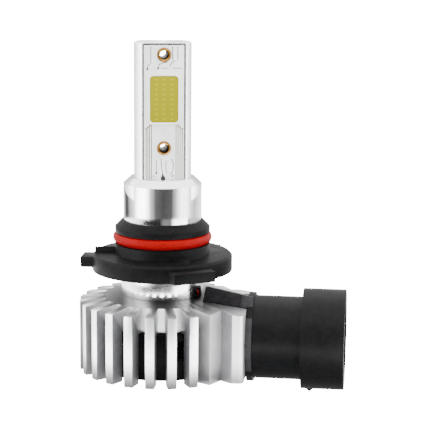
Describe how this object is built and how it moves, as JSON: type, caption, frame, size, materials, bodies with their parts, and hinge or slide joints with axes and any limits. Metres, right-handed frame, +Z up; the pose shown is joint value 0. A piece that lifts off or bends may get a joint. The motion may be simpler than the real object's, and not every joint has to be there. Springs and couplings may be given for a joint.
{
  "type": "led headlight bulb",
  "caption": "Fan-cooled LED headlight bulb with a flat-sided light column, twist-lock base, red seal ring, finned heat sink and side connector.",
  "frame": {"origin": "centre of the flange's top face, the seating plane that rests on the lamp housing", "axes": "+Z up the light column, +X out of the side connector, -Y the side the front light board nearly faces"},
  "size_m": [0.0624, 0.0388, 0.0809],
  "materials": {
    "column_aluminium": "polished",
    "solder_mask": "satin",
    "dam_silicone": "satin",
    "led_die": "gloss",
    "phosphor_silicone": "satin",
    "rivet_brass": "polished",
    "red_insulation": "satin",
    "black_insulation": "satin",
    "black_rubber": "matte",
    "base_nylon": "satin",
    "red_silicone": "satin",
    "sink_aluminium": "satin",
    "zinc_steel": "bright",
    "green_laminate": "gloss",
    "ferrite": "matte",
    "capacitor_ceramic": "satin",
    "chip_epoxy": "matte",
    "black_film": "matte",
    "fan_plastic": "satin",
    "stator_steel": "satin",
    "copper_enamel": "gloss",
    "sintered_bronze": "matte",
    "yoke_steel": "satin",
    "bright_steel": "polished",
    "label_foil": "satin",
    "cover_nylon": "matte",
    "connector_nylon": "satin",
    "carrier_nylon": "matte",
    "contact_brass": "satin"
  },
  "bodies": {
    "lamp": {"light_column": "column_aluminium", "led_board_front": "solder_mask", "led_board_rear": "solder_mask", "cob_dam_front": "dam_silicone", "cob_dam_rear": "dam_silicone", "led_dice_front": "led_die", "led_dice_rear": "led_die", "phosphor_front": "phosphor_silicone", "phosphor_rear": "phosphor_silicone", "board_rivets": "rivet_brass", "led_wires": "red_insulation", "inner_seal_ring": "black_rubber", "heat_sink": "sink_aluminium", "column_screws": "zinc_steel", "driver_board": "green_laminate", "driver_inductor": "ferrite", "driver_capacitors": "capacitor_ceramic", "driver_chips": "chip_epoxy", "driver_cover": "black_film", "fan_frame": "fan_plastic", "fan_screws": "zinc_steel", "fan_circuit_board": "green_laminate", "stator_core": "stator_steel", "stator_coils": "copper_enamel", "fan_bearing": "sintered_bronze", "fan_wires": "black_insulation", "wire_cover": "cover_nylon", "power_wire_positive": "red_insulation", "power_wire_negative": "black_insulation", "connector_shell": "connector_nylon", "contact_carrier": "carrier_nylon", "blade_contacts": "contact_brass", "connector_screws": "zinc_steel"},
    "adapter": {"base_adapter": "base_nylon", "seal_ring": "red_silicone"},
    "rotor": {"rotor_impeller": "fan_plastic", "rotor_yoke": "yoke_steel", "rotor_magnet": "ferrite", "rotor_shaft": "bright_steel", "rotor_label": "label_foil"}
  },
  "joints": [
    {"name": "adapter_turn", "type": "hinge", "parent": "lamp", "child": "adapter", "pos_m": [0, 0, 0], "axis": [0, 0, 1], "continuous": true},
    {"name": "fan_spin", "type": "hinge", "parent": "lamp", "child": "rotor", "pos_m": [0, 0, -0.022], "axis": [0, 0, 1], "continuous": true}
  ]
}
